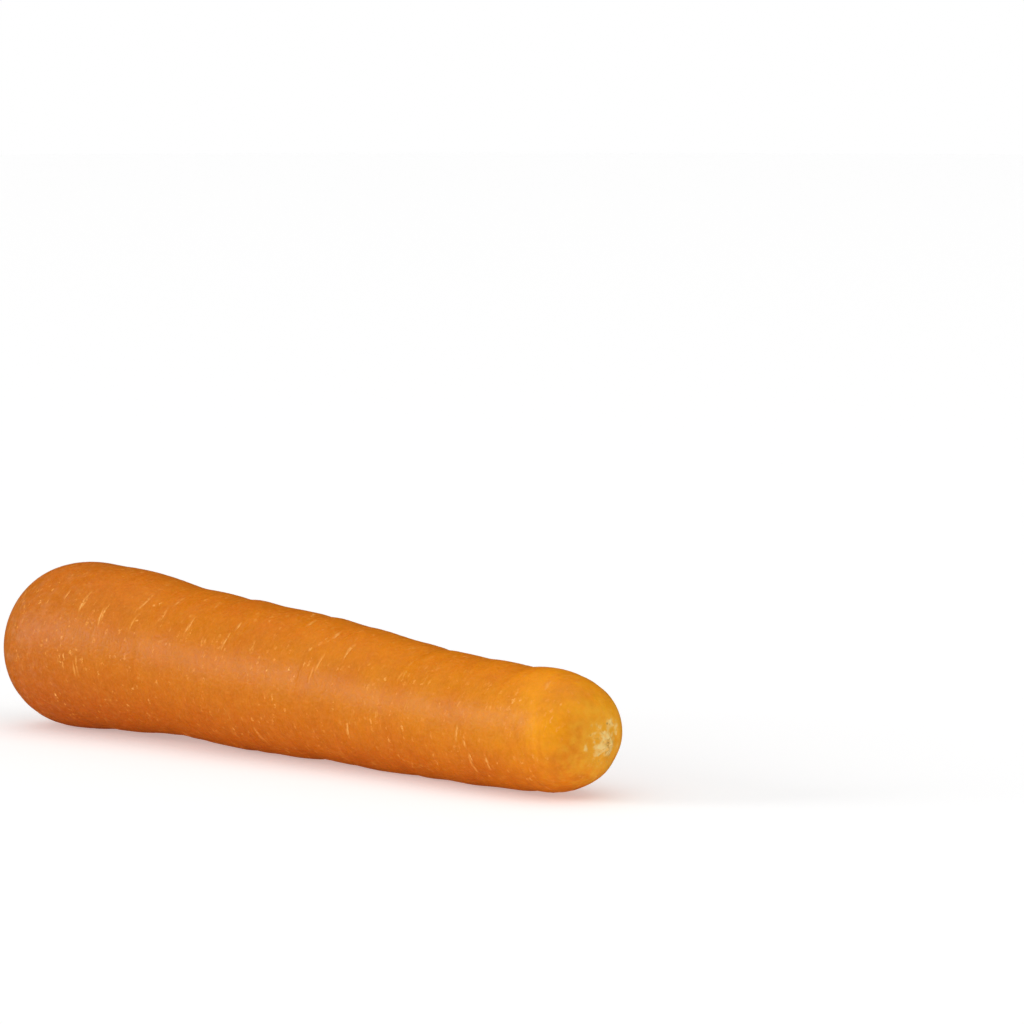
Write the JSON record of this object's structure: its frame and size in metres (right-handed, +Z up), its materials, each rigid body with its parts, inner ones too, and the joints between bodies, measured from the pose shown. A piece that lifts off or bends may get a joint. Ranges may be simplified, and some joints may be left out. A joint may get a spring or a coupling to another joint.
{
  "type": "carrot",
  "caption": "Washed fresh carrot, a blunt and slightly bowed tapered root with its leaves trimmed off, lying on its side.",
  "frame": {"origin": "middle of the bounding box's bottom face, on the surface that the carrot lies on", "axes": "+X along the root from its crown to its tip, +Z up, +Y to the left when looking from the crown to the tip"},
  "size_m": [0.189, 0.0406, 0.0395],
  "materials": {
    "carrot_skin": "satin, slightly waxy, with pale cross scars"
  },
  "bodies": {
    "root": {"carrot_root": "carrot_skin"}
  },
  "joints": []
}
